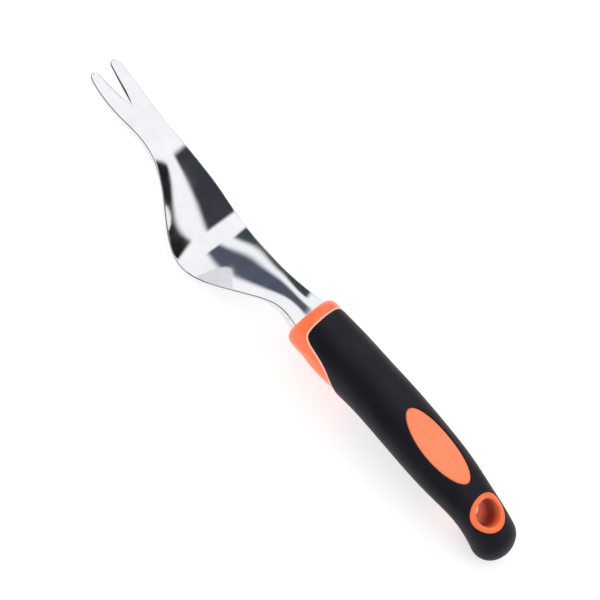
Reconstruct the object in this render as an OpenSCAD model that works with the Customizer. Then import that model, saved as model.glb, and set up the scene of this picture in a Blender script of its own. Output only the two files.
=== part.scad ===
// Hand weeder: one-piece cast blade with a forked tip and a deep fulcrum heel, on an overmoulded handle.
// Built along X with the fork at +X and the front of the collar at x = 0, then laid down on its
// heel and the hook of its handle, which touch z = 0. It is the same on both sides of y = 0.

/* [Overall] */
// Bare metal from the fork tips to the front of the collar
blade_len = 168; // [160:1:176]
// Handle from the front of the collar to its rear end
handle_len = 158; // [150:1:165]

/* [Blade] */
// Half width across the prongs
fork_half_w = 11; // [10:0.5:12]
// Half width of the straight shank behind the fork
shank_half_w = 8.6; // [8:0.2:9.4]
// Half width that the heel swells towards
heel_half_w = 23.4; // [21:0.2:25]
// Half width of the neck at its waist
neck_half_w = 8.6; // [8:0.2:9.4]
// Depth of the heel's edges below the fork tips
heel_drop = 37; // [32:1:40]
// How far the middle of the heel is dished below its edges
heel_dish = 2.5; // [0:0.5:4]
// Thickness of the shank
shank_t = 5.5; // [4.5:0.5:6]
// Thickness of the heel plate
heel_t = 2.5; // [2:0.1:3.5]
// Depth of the metal where it enters the collar
neck_t = 15; // [13:0.5:16]
// Length of the V notch between the prongs
notch_len = 24; // [20:1:28]
// Gap between the prong tips
notch_gap = 8; // [6:0.5:9]

/* [Tang and pin] */
// Length of the tang hidden in the handle
tang_len = 66; // [55:1:75]
// Width of the tang
tang_w = 13; // [11:0.5:15]
// Depth of the tang
tang_t = 9; // [8:0.5:10]
// Diameter of the steel cross pin
pin_d = 4; // [3:0.5:5]
// Distance of the cross pin behind the collar front
pin_x = 52; // [45:1:58]

/* [Handle] */
// Thickness of the soft grip over the core
grip_t = 2.6; // [2:0.1:3]
// Wall at the front of the collar
collar_wall = 4; // [3:0.5:5]
// Distance of the thumb window's middle behind the collar front
window_x = 94; // [90:1:98]
// Length of the thumb window
window_len = 48.5; // [42:0.5:52]
// Width of the thumb window
window_w = 18; // [15:0.5:20]
// How far the thumb pad lies below the grip
pad_recess = 0.5; // [0.2:0.1:1]

/* [Hang hole] */
// Diameter of the hang hole
hang_d = 14.4; // [12:0.2:15]
// Diameter of the eyelet's barrel
barrel_d = 17.4; // [16:0.2:18]
// Diameter of the eyelet's rim
rim_d = 20.6; // [19.6:0.2:21]
// Distance of the hang hole behind the collar front
hang_x = 132.4; // [130:0.2:136]
// Lean of the hang hole away from straight up
hang_tilt = 27; // [15:1:28]

/* [Hidden] */

// Smooth curve (uniform cubic B-spline) steered by values v spaced one apart, at place t
function curve(v, t) =
    let (n = len(v) - 1,
         u = min(max(t, 0), n),
         i = min(floor(u), n - 1),
         f = u - i,
         before = i == 0 ? 2 * v[0] - v[1] : v[i - 1],
         after = i + 2 > n ? 2 * v[n] - v[n - 1] : v[i + 2])
    (before * pow(1 - f, 3) + v[i] * (3 * pow(f, 3) - 6 * f * f + 4)
        + v[i + 1] * (-3 * pow(f, 3) + 3 * f * f + 3 * f + 1) + after * pow(f, 3)) / 6;
function mix(a, b, f) = a + (b - a) * f;

// ---- Blade: stations spaced evenly from the fork tips back to the collar ----
tip_half_w = fork_half_w - 1.3;
blade_half_w = [tip_half_w, fork_half_w, mix(fork_half_w, shank_half_w, 0.4), shank_half_w,
    mix(shank_half_w, heel_half_w, 0.08), mix(shank_half_w, heel_half_w, 0.36),
    mix(shank_half_w, heel_half_w, 0.77), heel_half_w, heel_half_w - 1, mix(neck_half_w, heel_half_w, 0.63),
    mix(neck_half_w, heel_half_w, 0.27), neck_half_w, neck_half_w + 2.2];
blade_edge_z = [0.5, -2.2, -2.9, -1.9, -3.7, -0.33 * heel_drop, -0.68 * heel_drop, -heel_drop,
    -0.98 * heel_drop, -0.71 * heel_drop, -0.41 * heel_drop, -3.2, -1.6];
blade_t = [2, 3.5, shank_t - 0.5, shank_t, shank_t - 0.5, mix(shank_t, heel_t, 0.5), heel_t + 0.3, heel_t,
    heel_t, heel_t + 0.5, 0.33 * neck_t, 0.66 * neck_t, neck_t];
blade_dish = [0, 0, 0, 0.1 * heel_dish, 0.36 * heel_dish, 0.64 * heel_dish, 0.88 * heel_dish, heel_dish,
    heel_dish, 0.96 * heel_dish, 0.8 * heel_dish, 0.52 * heel_dish, 0.4 * heel_dish];
// Share of the width and depth taken by the rounding of the underside
blade_round = [0.2, 0.2, 0.2, 0.2, 0.2, 0.25, 0.3, 0.35, 0.4, 0.5, 0.65, 0.8, 0.8];
top_edge_r = 0.7;
blade_rings = 72;
tang_rings = 8;
neck_entry = 1;
tang_step = 3;
flat_steps = 6;
corner_steps = 4;
root_half_w = 0.4;
prong_tip_r = (tip_half_w - notch_gap / 2) / 2;

// ---- Handle: stations spaced evenly from the collar front to the rear end ----
handle_mid_z = [-5.2, -5.0, -3.2, -0.5, 1.0, 1.3, 1.2, 1.4, 0.9, -2.6, -12];
handle_half_w = [15.4, 16.4, 16.8, 15.9, 16.3, 16.4, 16.3, 15.6, 13.2, 13, 13.7];
handle_over = [14.9, 15.4, 15.2, 14, 13.1, 12.6, 12.2, 11.5, 10.2, 9.6, 9.8];
handle_under = [15.2, 15.9, 16.1, 14.5, 14.3, 14.1, 13.7, 12.9, 11.3, 11.9, 11.9];
handle_sides = 32;
handle_rings = 32;
dome_rings = 6;
dome_len = 10;
nose_r = 4.5;
nose_rings = 4;
core_nose_r = 0.6;

// Joint line between collar and grip, from the top round to the underside: angle from the top ...
line_angle = [0, 22, 42, 57, 61, 67, 87, 125, 160, 180];
// ... and distance behind the collar front
line_x = [7.2, 7.4, 7.8, 9.5, 18, 27, 35, 42, 46, 46.5];
line_steps = 26;
zone_grow = 8;

// How the tool lies: leaned back until heel and handle hook touch the ground
rest_lean = 6.3;
rest_lift = 34.25;
rest_shift = -4.9;

// Triangles of a grid of rings; ends are closed by fans unless it is a loop of rings
module skin(rings) {
    rows = len(rings);
    m = len(rings[0]);
    walls = [for (i = [0 : rows - 2], j = [0 : m - 1])
        let (k = (j + 1) % m, a = i * m + j, b = i * m + k, c = (i + 1) * m + k, d = (i + 1) * m + j)
        each [[a, b, c], [a, c, d]]];
    first = [for (j = [1 : m - 2]) [0, j + 1, j]];
    last = [for (j = [1 : m - 2]) let (s = (rows - 1) * m) [s, s + j, s + j + 1]];
    polyhedron([for (r = rings) each r], concat(walls, first, last), convexity = 8);
}

// Meshes combined inside are handed on as one mesh
module joined() {
    resize([0, 0, 0]) children();
}

module rest_pose() {
    translate([rest_shift, 0, rest_lift]) rotate([0, -rest_lean, 0]) children();
}

// Cross-section of the blade: a bar with crisp top edges and a rounded underside.
// w half width, z height of the top edges, t thickness, dish sag of the middle, k rounding below
function bar_section(x, w, z, t, dish, k) =
    let (r = min(top_edge_r, t / 3),
         kw = k * w,
         kt = min(k * t + 0.3, t - r),
         flat = w - r,
         low = w - kw,
         outline = concat(
             [for (i = [0 : flat_steps]) [flat - 2 * flat * i / flat_steps, 0]],
             [for (i = [1 : corner_steps]) let (a = 90 * i / corner_steps)
                [-flat - r * sin(a), r * cos(a) - r]],
             [for (i = [0 : corner_steps]) let (a = 90 * i / corner_steps)
                 [-low - kw * cos(a), -t + kt - kt * sin(a)]],
             [for (i = [1 : flat_steps - 1]) [-low + 2 * low * i / flat_steps, -t]],
             [for (i = [0 : corner_steps]) let (a = 90 * i / corner_steps)
                 [low + kw * sin(a), -t + kt - kt * cos(a)]],
             [for (i = [0 : corner_steps - 1]) let (a = 90 * i / corner_steps)
                 [flat + r * cos(a), r * sin(a) - r]]))
    [for (p = outline) [x, p[0], z + p[1] - dish * (1 - pow(p[0] / w, 2))]];

function blade_ring(s) =
    let (q = 12 * s / blade_len)
    bar_section(blade_len - s, curve(blade_half_w, q), curve(blade_edge_z, q), curve(blade_t, q),
        curve(blade_dish, q), curve(blade_round, q));

// The tang, a plain bar on the handle's middle line, at distance d behind the collar front
function tang_ring(d) =
    bar_section(-d, tang_w / 2, curve(handle_mid_z, 10 * d / handle_len) + tang_t / 2, tang_t, 0, 0.2);

module blade_casting() {
    skin(concat([for (i = [0 : blade_rings]) blade_ring((blade_len + neck_entry) * i / blade_rings)],
        [for (i = [0 : tang_rings]) tang_ring(mix(tang_step, tang_len, i / tang_rings))]));
}

// Plan of one prong and everything behind the fork on its side
module prong_plan() {
    hull() {
        translate([blade_len - prong_tip_r, notch_gap / 2 + prong_tip_r]) circle(prong_tip_r, $fn = 32);
        translate([blade_len - notch_len - 1, root_half_w]) square([1, fork_half_w + 2]);
    }
}

module fork_plan() {
    prong_plan();
    mirror([0, 1]) prong_plan();
    translate([-tang_len - 5, -2 * heel_half_w])
        square([blade_len + tang_len + 5 - notch_len, 4 * heel_half_w]);
}

// Centre of the cross pin, on the handle's middle line
pin_z = curve(handle_mid_z, 10 * pin_x / handle_len);
pin_len = 24;
module pin_solid() {
    translate([-pin_x, 0, pin_z])
        rotate([90, 0, 0])
            cylinder(h = pin_len, d = pin_d, center = true, $fn = 48);
}

// Point of the handle's oval section at distance d behind the collar front and angle a from the top,
// with the section grown by g and scaled by f
function handle_point(d, a, g, f = 1) =
    let (q = 10 * d / handle_len,
         w = (curve(handle_half_w, q) + g) * f,
         up = (curve(cos(a) > 0 ? handle_over : handle_under, q) + g) * f * cos(a),
         slope = (curve(handle_mid_z, q + 0.05) - curve(handle_mid_z, q - 0.05)) / (0.01 * handle_len),
         n = sqrt(1 + slope * slope))
    [-d + up * slope / n, -w * sin(a), curve(handle_mid_z, q) + up / n];

function handle_ring(d, g, f) =
    [for (j = [0 : handle_sides - 1]) handle_point(d, 360 * j / handle_sides, g, f)];

// Whole handle grown by g, from x = -front: nose rounded by the radius nose, long body, domed rear end
module handle_body(g, front = 0, nose = nose_r) {
    dome_x = handle_len - dome_len;
    reach = dome_len + g;
    body_x = front + nose;
    skin(concat(
        [for (i = [0 : nose_rings - 1]) let (a = 90 - 90 * i / nose_rings)
            handle_ring(front + nose * (1 - sin(a)), g - nose * (1 - cos(a)), 1)],
        [for (i = [0 : handle_rings]) handle_ring(body_x + (dome_x - body_x) * i / handle_rings, g, 1)],
        [for (i = [1 : dome_rings]) let (a = 84 * i / dome_rings)
            handle_ring(dome_x + reach * sin(a), g, cos(a))]));
}

// Everything in front of the joint line between collar and grip
module collar_zone() {
    half = [for (i = [0 : line_steps]) let (t = 9 * i / line_steps) [curve(line_angle, t), curve(line_x, t)]];
    round_trip = concat(half, [for (i = [line_steps - 1 : -1 : 1]) [360 - half[i][0], half[i][1]]]);
    skin([[for (p = round_trip) handle_point(-5, p[0], zone_grow)],
        [for (p = round_trip) handle_point(p[1], p[0], zone_grow)],
        [for (p = round_trip) handle_point(p[1], p[0], 0, 0.01)]]);
}

module window_prism() {
    translate([-window_x, 0, 0])
        linear_extrude(height = 40) scale([window_len / 2, window_w / 2]) circle(1, $fn = 48);
}

// Place of the hang hole, on the handle's middle line and leaning with the top of the handle
hang_z = curve(handle_mid_z, 10 * hang_x / handle_len);
module at_hang_hole() {
    translate([-hang_x, 0, hang_z]) rotate([0, -hang_tilt, 0]) children();
}

module blade() {
    color([0.80, 0.81, 0.83]) rest_pose() difference() {
        joined() intersection() {
            blade_casting();
            translate([0, 0, -60]) linear_extrude(height = 90) fork_plan();
        }
        pin_solid();
    }
}

module tang_pin() {
    color([0.62, 0.63, 0.65]) rest_pose() pin_solid();
}

// The core's outside, which the collar, the grip and the thumb pad fit over
module core_body() {
    handle_body(-grip_t, collar_wall, core_nose_r);
}

module handle_core() {
    color([0.98, 0.45, 0.22]) rest_pose() difference() {
        joined() difference() {
            core_body();
            blade_casting();
        }
        pin_solid();
        at_hang_hole() cylinder(h = 50, d = barrel_d, center = true, $fn = 64);
    }
}

module front_collar() {
    color([1.0, 0.48, 0.25]) rest_pose() joined() difference() {
        intersection() {
            handle_body(0);
            collar_zone();
        }
        core_body();
        blade_casting();
    }
}

module grip_sleeve() {
    color([0.13, 0.13, 0.15]) rest_pose() joined() difference() {
        handle_body(0);
        core_body();
        collar_zone();
        window_prism();
        at_hang_hole() cylinder(h = 60, d = rim_d, center = true, $fn = 64);
    }
}

module thumb_pad() {
    color([1.0, 0.55, 0.38]) rest_pose() joined() difference() {
        intersection() {
            handle_body(-pad_recess);
            window_prism();
        }
        core_body();
    }
}

module hang_eyelet() {
    color([0.95, 0.45, 0.24]) rest_pose() difference() {
        joined() intersection() {
            handle_body(0);
            union() {
                at_hang_hole() cylinder(h = 60, d = barrel_d, center = true, $fn = 64);
                difference() {
                    at_hang_hole() cylinder(h = 60, d = rim_d, center = true, $fn = 64);
                    core_body();
                }
            }
        }
        at_hang_hole() cylinder(h = 70, d = hang_d, center = true, $fn = 64);
    }
}

blade();
tang_pin();
handle_core();
front_collar();
grip_sleeve();
thumb_pad();
hang_eyelet();
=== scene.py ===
"""Hand weeder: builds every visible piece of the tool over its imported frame, and the studio round it."""

import math

import bpy
import numpy as np
from bpy.props import FloatProperty, FloatVectorProperty, PointerProperty
from mathutils import Matrix, Vector


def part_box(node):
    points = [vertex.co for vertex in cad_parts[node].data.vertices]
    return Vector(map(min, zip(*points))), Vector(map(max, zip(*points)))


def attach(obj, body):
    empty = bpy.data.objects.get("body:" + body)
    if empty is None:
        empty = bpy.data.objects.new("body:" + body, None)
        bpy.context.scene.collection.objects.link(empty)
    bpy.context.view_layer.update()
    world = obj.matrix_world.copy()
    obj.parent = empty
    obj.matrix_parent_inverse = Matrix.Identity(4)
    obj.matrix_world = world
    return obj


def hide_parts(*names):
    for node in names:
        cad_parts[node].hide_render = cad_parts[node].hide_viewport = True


bl_info = {
    "name": "Hand weeder",
    "version": (1, 0, 0),
    "blender": (4, 5, 0),
    "location": "View3D > Sidebar > Weeder",
    "description": "Builds a forked hand weeder with a cast blade and an overmoulded handle",
    "category": "Object",
}

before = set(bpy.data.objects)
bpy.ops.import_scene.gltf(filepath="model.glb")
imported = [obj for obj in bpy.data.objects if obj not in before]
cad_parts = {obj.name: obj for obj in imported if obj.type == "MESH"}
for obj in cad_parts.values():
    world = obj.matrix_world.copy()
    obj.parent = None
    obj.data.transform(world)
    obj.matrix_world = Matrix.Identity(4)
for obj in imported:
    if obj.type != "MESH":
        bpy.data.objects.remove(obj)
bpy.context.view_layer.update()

# Lengths below are millimetres in the tool's own frame: X runs to the fork and x = 0 is the front
# of the collar. Each list steers a smooth curve at evenly spaced stations.
MM = 0.001
REST_LEAN = math.radians(6.3)

# Blade: bare length, and the fork's notch with its width at the mouth and at the root, where it
# closes over a short stretch
BLADE_LEN = 168.0
NOTCH_LEN = 24.0
NOTCH_GAP = 8.0
ROOT_HALF_W = 0.4
ROOT_FADE = 0.7
# Radii of its top edges and of the prongs' inner edges, the most of its width that an edge or the
# rounding of the underside may take, and the least height of that rounding over its share
EDGE_R = 0.7
IN_EDGE_R = 1.5
EDGE_SHARE = 0.35
ROUND_SHARE = 0.6
ROUND_LEAST = 0.3
# Where the neck steps down to the hidden tang, and the tang's length, half width and thickness
NECK_ENTRY = 1.0
TANG_STEP = 3.0
TANG_LEN = 66.0
TANG_HALF_W = 6.5
TANG_T = 9.0
TANG_ROUND = 0.2

# Blade, from the fork tips back to the collar: half width, height of the top edges, thickness,
# sag of the middle, and share of the section taken by the rounding of the underside
BLADE_HALF_W = (9.7, 11.0, 10.04, 8.6, 9.784, 13.928, 19.996, 23.38, 22.4, 17.924, 12.596, 8.6, 10.8)
BLADE_EDGE_Z = (0.5, -2.2, -2.9, -1.9, -3.7, -12.21, -25.16, -37.0, -36.26, -26.27, -15.17, -3.2, -1.6)
BLADE_T = (2.0, 3.5, 5.0, 5.5, 5.0, 4.0, 2.8, 2.5, 2.5, 3.0, 4.95, 9.9, 15.0)
BLADE_DISH = (0.0, 0.0, 0.0, 0.25, 0.9, 1.6, 2.2, 2.5, 2.5, 2.4, 2.0, 1.3, 1.0)
BLADE_ROUND = (0.2, 0.2, 0.2, 0.2, 0.2, 0.25, 0.3, 0.35, 0.4, 0.5, 0.65, 0.8, 0.8)

# Handle, from the collar front to the rear end: height of the middle line, half width, and how far
# the section stands over and under the middle line
HANDLE_LEN = 158.0
HANDLE_MID_Z = (-5.2, -5.0, -3.2, -0.5, 1.0, 1.3, 1.2, 1.4, 0.9, -2.6, -12.0)
HANDLE_HALF_W = (15.4, 16.4, 16.8, 15.9, 16.3, 16.4, 16.3, 15.6, 13.2, 13.0, 13.7)
HANDLE_OVER = (14.9, 15.4, 15.2, 14.0, 13.1, 12.6, 12.2, 11.5, 10.2, 9.6, 9.8)
HANDLE_UNDER = (15.2, 15.9, 16.1, 14.5, 14.3, 14.1, 13.7, 12.9, 11.3, 11.9, 11.9)
# Start and length of the rounded rear end, and the front corner's radius
DOME_X = 148.0
DOME_LEN = 9.9
NOSE_R = 4.5

# Collar: height of the neck's middle, and pairs of distance behind the front face and gap to the
# neck along its opening, from the back out to the front
NECK_MID_Z = -8.5
NECK_GAPS = ((0.5, 0.1), (0.15, 0.2), (0.0, 0.6))

# Line between collar and grip, from the top round to the underside: angle from the top, in degrees,
# and distance behind the collar front
LINE_ANGLE = (0, 22, 42, 57, 61, 67, 87, 125, 160, 180)
LINE_X = (7.2, 7.4, 7.8, 9.5, 18, 27, 35, 42, 46, 46.5)
# Crease along the collar's tongue, as angles from the top at even steps back, and the hollow below
# it: depth, width of the step down, width over which it fades, and the stretch where it starts
CREASE_FROM = 9.0
CREASE_STEP = 5.0
CREASE_ANGLE = (96, 86, 79, 79, 84, 92, 100, 108)
SCOOP_DEPTH = 1.3
SCOOP_SLOPE = 1.8
SCOOP_WIDTH = 14.0
SCOOP_LEAD = 2.0
SCOOP_STRETCH = 8.0

# Thumb window, and the hang hole with the eyelet's bore, barrel and rim
WINDOW_X = 94.0
WINDOW_HALF = (24.25, 9.0)
HANG_X = 132.4
HANG_TILT = math.radians(27.0)
HANG_R = 7.2
BARREL_R = 8.7
RIM_R = 10.3

# Division of the grip's skin: distances behind the collar front for the top patches round the window
# and the hang hole and for the lower patch round the hang hole, and angles from the top for both
LANES_FROM = 64
LANES_MID = 122
LANES_TO = 152
LOW_FROM = 112
LOW_TO = 143
TOP_SIDE = 75
LOW_SIDE = 105

# Fineness of the grids: the distance under which points weld, steps round a corner, across a flat
# and up a wall, columns round the handle, and rows of each stretch
WELD = 0.002
CORNER_STEPS = 7
FLAT_STEPS = 24
WALL_STEPS = 6
ROUND = 144
TIP_ROWS = 14
PRONG_ROWS = 26
ROOT_ROWS = 8
BODY_ROWS = 150
TANG_ROWS = 12
LIP_ROWS = 6
NOSE_ROWS = 10
FACE_ROWS = 7
SKIN_ROWS = 44
LINING_ROWS = 14
LANE_ROWS = 30
PATCH_ROWS = 15
DOME_ROWS = 24
PAD_ROUND = 160
PAD_ROWS = 26
RIM_ROWS = 9
BORE_ROWS = 10
# Powers that crowd the rows towards an edge
CROWD = 1.3
PAD_CROWD = 1.6
SKIN_CROWD = 1.2
SOLVE_STEPS = 40


def curve(values, t):
    """Uniform cubic B-spline steered by values one apart, at the places t; its ends are mirrored."""
    v = np.asarray(values, float)
    v = np.concatenate([[2 * v[0] - v[1]], v, [2 * v[-1] - v[-2]]])
    last = len(v) - 3
    t = np.clip(np.asarray(t, float), 0, last)
    i = np.minimum(np.floor(t).astype(int), last - 1)
    f = t - i
    near = v[i + 1] * (3 * f**3 - 6 * f**2 + 4) + v[i + 2] * (-3 * f**3 + 3 * f**2 + 3 * f + 1)
    return (v[i] * (1 - f) ** 3 + near + v[i + 3] * f**3) / 6


# ---- Collecting grids into one closed mesh ----
class Surface:
    """Grids of points that are welded where they meet, giving one closed mesh."""

    def __init__(self):
        self.points = []
        self.quads = []
        self.count = 0

    def add(self, grid, wrap=False, flip=False, out=None):
        """Adds a grid (rows, columns, 3). wrap joins the last column to the first, and out is a
        direction for every point that tells which side faces outwards."""
        rows, cols = grid.shape[:2]
        index = np.arange(rows * cols).reshape(rows, cols)
        if wrap:
            index = np.concatenate([index, index[:, :1]], axis=1)
        corners = (index[:-1, :-1], index[:-1, 1:], index[1:, 1:], index[1:, :-1])
        quads = np.stack(corners, -1).reshape(-1, 4)
        points = grid.reshape(-1, 3)
        if out is not None:
            p = points[quads]
            across = np.cross(p[:, 2] - p[:, 0], p[:, 3] - p[:, 1])
            away = np.broadcast_to(out, grid.shape).reshape(-1, 3)[quads[:, 0]]
            flip = (across * away).sum() < 0
        self.quads.append((quads[:, ::-1] if flip else quads) + self.count)
        self.points.append(points)
        self.count += len(points)

    def closed(self):
        """Welds points that round to the same place, drops empty faces and turns the rest outwards."""
        points = np.concatenate(self.points)
        quads = np.concatenate(self.quads)
        keys = np.round(points / WELD).astype(np.int64)
        _, keep, where = np.unique(keys, axis=0, return_index=True, return_inverse=True)
        points, quads = points[keep], where.reshape(-1)[quads]
        same = quads == np.roll(quads, -1, axis=1)
        full = quads[same.sum(1) == 0]
        one = quads[same.sum(1) == 1]
        spare = one == np.roll(one, -1, axis=1)
        order = (spare.argmax(1)[:, None] + np.array([1, 2, 3])) % 4
        tris = np.take_along_axis(one, order, axis=1)
        pinched = (full[:, 0] == full[:, 2]) | (full[:, 1] == full[:, 3])
        full = full[~pinched]
        fan = np.concatenate([full[:, [0, 1, 2]], full[:, [0, 2, 3]], tris])
        corner = points[fan]
        volume = np.einsum("ij,ij->", corner[:, 0], np.cross(corner[:, 1], corner[:, 2]))
        if volume < 0:
            full, tris = full[:, ::-1], tris[:, ::-1]
        return points, full, tris


# ---- Blade ----
def arc(count):
    """Angles of a quarter turn in even steps."""
    return np.linspace(0, math.pi / 2, count)


def between(count):
    """Even shares strictly between 0 and 1, shaped to blend whole rows of points."""
    return np.linspace(0, 1, count)[1:-1, None, None]


def column(x):
    """Numbers for every row as a column."""
    return np.asarray(x, float)[:, None]


def joined(parts):
    """Pieces of an outline, each a pair of across and up, put end to end."""
    return np.stack([np.concatenate([p[i] for p in parts], 1) for i in (0, 1)], -1)


def spread(count, edge=0.02):
    """Shares from 0 to 1 with one extra place close to each end, which keeps flats flat."""
    return np.concatenate([[0, edge], np.linspace(edge, 1 - edge, count)[1:-1], [1 - edge, 1]])


def bar_outline(y_in, y_out, z_top, thick, round_w, round_t, top_r, in_r, drop):
    """Half outline of a bar, as (across, up) for every row: top flat from y_in outwards, top corner,
    side wall, underside corner and bottom flat back inwards; then, for a prong, its inner corner,
    inner wall and inner top corner. All corners are quarter ellipses, and drop takes their
    height away towards a tip, where the outline closes to an upright line."""
    wide = y_out - y_in
    rh = column(np.minimum(top_r, EDGE_SHARE * wide))
    ih = column(np.minimum(in_r, EDGE_SHARE * wide))
    kw = column(np.minimum(round_w, ROUND_SHARE * wide))
    keep = column(1 - drop / top_r)
    rv, kv, iv = column(top_r) * keep, column(round_t) * keep, column(in_r) * keep
    yi, yo = column(y_in), column(y_out)
    top = column(z_top - drop)
    low = column(z_top - thick + drop)
    a = arc(CORNER_STEPS)[None, :]
    f = spread(FLAT_STEPS)[None, :]
    u = np.linspace(0, 1, WALL_STEPS)[None, 1:-1]
    outer = [
        (yi + ih + (yo - rh - yi - ih) * f, top + 0 * f),
        (yo - rh + rh * np.sin(a[:, 1:]), top - rv + rv * np.cos(a[:, 1:])),
        (yo + 0 * u, (top - rv) * (1 - u) + (low + kv) * u),
        (yo - kw + kw * np.cos(a), low + kv - kv * np.sin(a)),
        (yo - kw + (yi + ih - yo + kw) * f[:, 1:], low + 0 * f[:, 1:]),
    ]
    inner = [
        (yi + ih - ih * np.sin(a), low + iv - iv * np.cos(a)),
        (yi + 0 * u, (low + iv) * (1 - u) + (top - iv) * u),
        (yi + ih - ih * np.cos(a), top - iv + iv * np.sin(a)),
    ]
    return joined(outer), joined(inner)


def blade_half(edge_r):
    """The +Y half of the blade as grids of points. Rows run from the fork tips back along the blade
    and into the handle; each row is a bar outline whose width, height, thickness, dish and rounding
    follow smooth curves. The dish lowers a point by its depth times one less the squared share of
    the half width."""
    tip_r = (BLADE_HALF_W[0] - NOTCH_GAP / 2) / 2
    tip_y = NOTCH_GAP / 2 + tip_r
    rows = np.concatenate([
        tip_r * (1 - np.cos(arc(TIP_ROWS))),
        np.linspace(tip_r, NOTCH_LEN - ROOT_FADE, PRONG_ROWS)[1:],
        NOTCH_LEN - ROOT_FADE + ROOT_FADE * np.sin(arc(ROOT_ROWS)[1:]),
        np.linspace(NOTCH_LEN, BLADE_LEN + NECK_ENTRY, BODY_ROWS)[1:],
    ])
    q = (len(BLADE_HALF_W) - 1) * rows / BLADE_LEN
    half_w = curve(BLADE_HALF_W, q)
    z_top = curve(BLADE_EDGE_Z, q)
    thick = curve(BLADE_T, q)
    dish = curve(BLADE_DISH, q)
    bend = curve(BLADE_ROUND, q)

    reach = NOTCH_LEN - tip_r
    rise = tip_y - ROOT_HALF_W
    slope_in = math.tan(math.atan2(rise, reach) - math.asin(tip_r / math.hypot(reach, rise)))
    circle = np.sqrt(np.clip(tip_r**2 - (tip_r - rows) ** 2, 0, None))
    line_in = ROOT_HALF_W + slope_in * (NOTCH_LEN - rows)
    touch = tip_r - tip_r * math.sin(math.atan(slope_in))
    y_in = np.where(rows < touch, tip_y - circle, line_in)
    fade = np.clip((rows - NOTCH_LEN + ROOT_FADE) / ROOT_FADE, 0, 1)
    y_in = np.where(rows < NOTCH_LEN, y_in, 0) * np.sqrt(1 - fade**2)
    y_out = np.where(rows < tip_r, np.minimum(half_w, tip_y + circle), half_w)

    top_r = np.minimum(edge_r, thick / 3)
    in_r = np.minimum(np.minimum(IN_EDGE_R, 0.4 * thick), y_in)
    near = np.clip(1 - rows / top_r, 0, 1)
    drop = top_r * (1 - np.sqrt(1 - near**2))
    round_t = np.minimum(bend * thick + ROUND_LEAST, thick - top_r)
    outer, inner = bar_outline(y_in, y_out, z_top, thick, bend * half_w, round_t, top_r, in_r, drop)

    back = np.linspace(TANG_STEP, TANG_LEN, TANG_ROWS)
    one = np.ones_like(back)
    tang_top = curve(HANDLE_MID_Z, handle_share(back)) + TANG_T / 2
    tang, _ = bar_outline(
        0 * one, TANG_HALF_W * one, tang_top, TANG_T * one, TANG_ROUND * TANG_HALF_W * one,
        (TANG_ROUND * TANG_T + ROUND_LEAST) * one, edge_r * one, 0 * one, 0 * one,
    )
    x = np.concatenate([BLADE_LEN - rows, -back])
    flat = np.concatenate([outer, tang])
    full_w = np.concatenate([half_w, TANG_HALF_W * one])
    sag = np.concatenate([dish, 0 * one])

    def solid(outline, at, wide, depth):
        y, z = outline[..., 0], outline[..., 1]
        z = z - depth[:, None] * (1 - (y / wide[:, None]) ** 2)
        return np.stack([np.broadcast_to(at[:, None], y.shape), y, z], -1)

    body = solid(flat, x, full_w, sag)
    front = rows <= NOTCH_LEN + 1e-9
    wall = solid(inner[front], BLADE_LEN - rows[front], half_w[front], dish[front])
    end = body[-1:]
    centre = np.broadcast_to([[-TANG_LEN, 0.0, tang_top[-1] - TANG_T / 2]], end.shape)
    return [body, wall, np.concatenate([end, centre])]


def blade_surface(edge_r):
    """Both halves of the blade, the second being the first mirrored across y = 0."""
    made = Surface()
    for side in (1, -1):
        for grid in blade_half(edge_r):
            made.add(grid * np.array([1, side, 1]), flip=side < 0)
    return made


# ---- Handle ----
def handle_share(d):
    """Distance d behind the collar front, counted in stations of the handle's lists."""
    return (len(HANDLE_MID_Z) - 1) * d / HANDLE_LEN


def handle_point(d, a, g):
    """Point of the handle's oval section at distance d behind the collar front and angle a from the
    top, grown by g. The section stands square to the handle's middle line, and over the last
    stretch it shrinks like an ellipse to a point."""
    d, a, g = np.broadcast_arrays(*(np.asarray(v, float) for v in (d, a, g)))
    q = handle_share(d)
    along = np.clip((d - DOME_X) / (DOME_LEN + g), 0, 1)
    f = np.sqrt(1 - along**2)
    over = np.where(np.cos(a) > 0, curve(HANDLE_OVER, q), curve(HANDLE_UNDER, q))
    up = (over + g) * f * np.cos(a)
    step = 0.05
    rise = curve(HANDLE_MID_Z, q + step) - curve(HANDLE_MID_Z, q - step)
    slope = rise / (0.01 * HANDLE_LEN)
    n = np.sqrt(1 + slope**2)
    y = -(curve(HANDLE_HALF_W, q) + g) * f * np.sin(a)
    return np.stack([-d + up * slope / n, y, curve(HANDLE_MID_Z, q) + up / n], -1)


def handle_width(d, g):
    """Half width of the handle at distance d, grown by g."""
    along = np.clip((d - DOME_X) / (DOME_LEN + g), 0, 1)
    return (curve(HANDLE_HALF_W, handle_share(d)) + g) * np.sqrt(1 - along**2)


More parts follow.
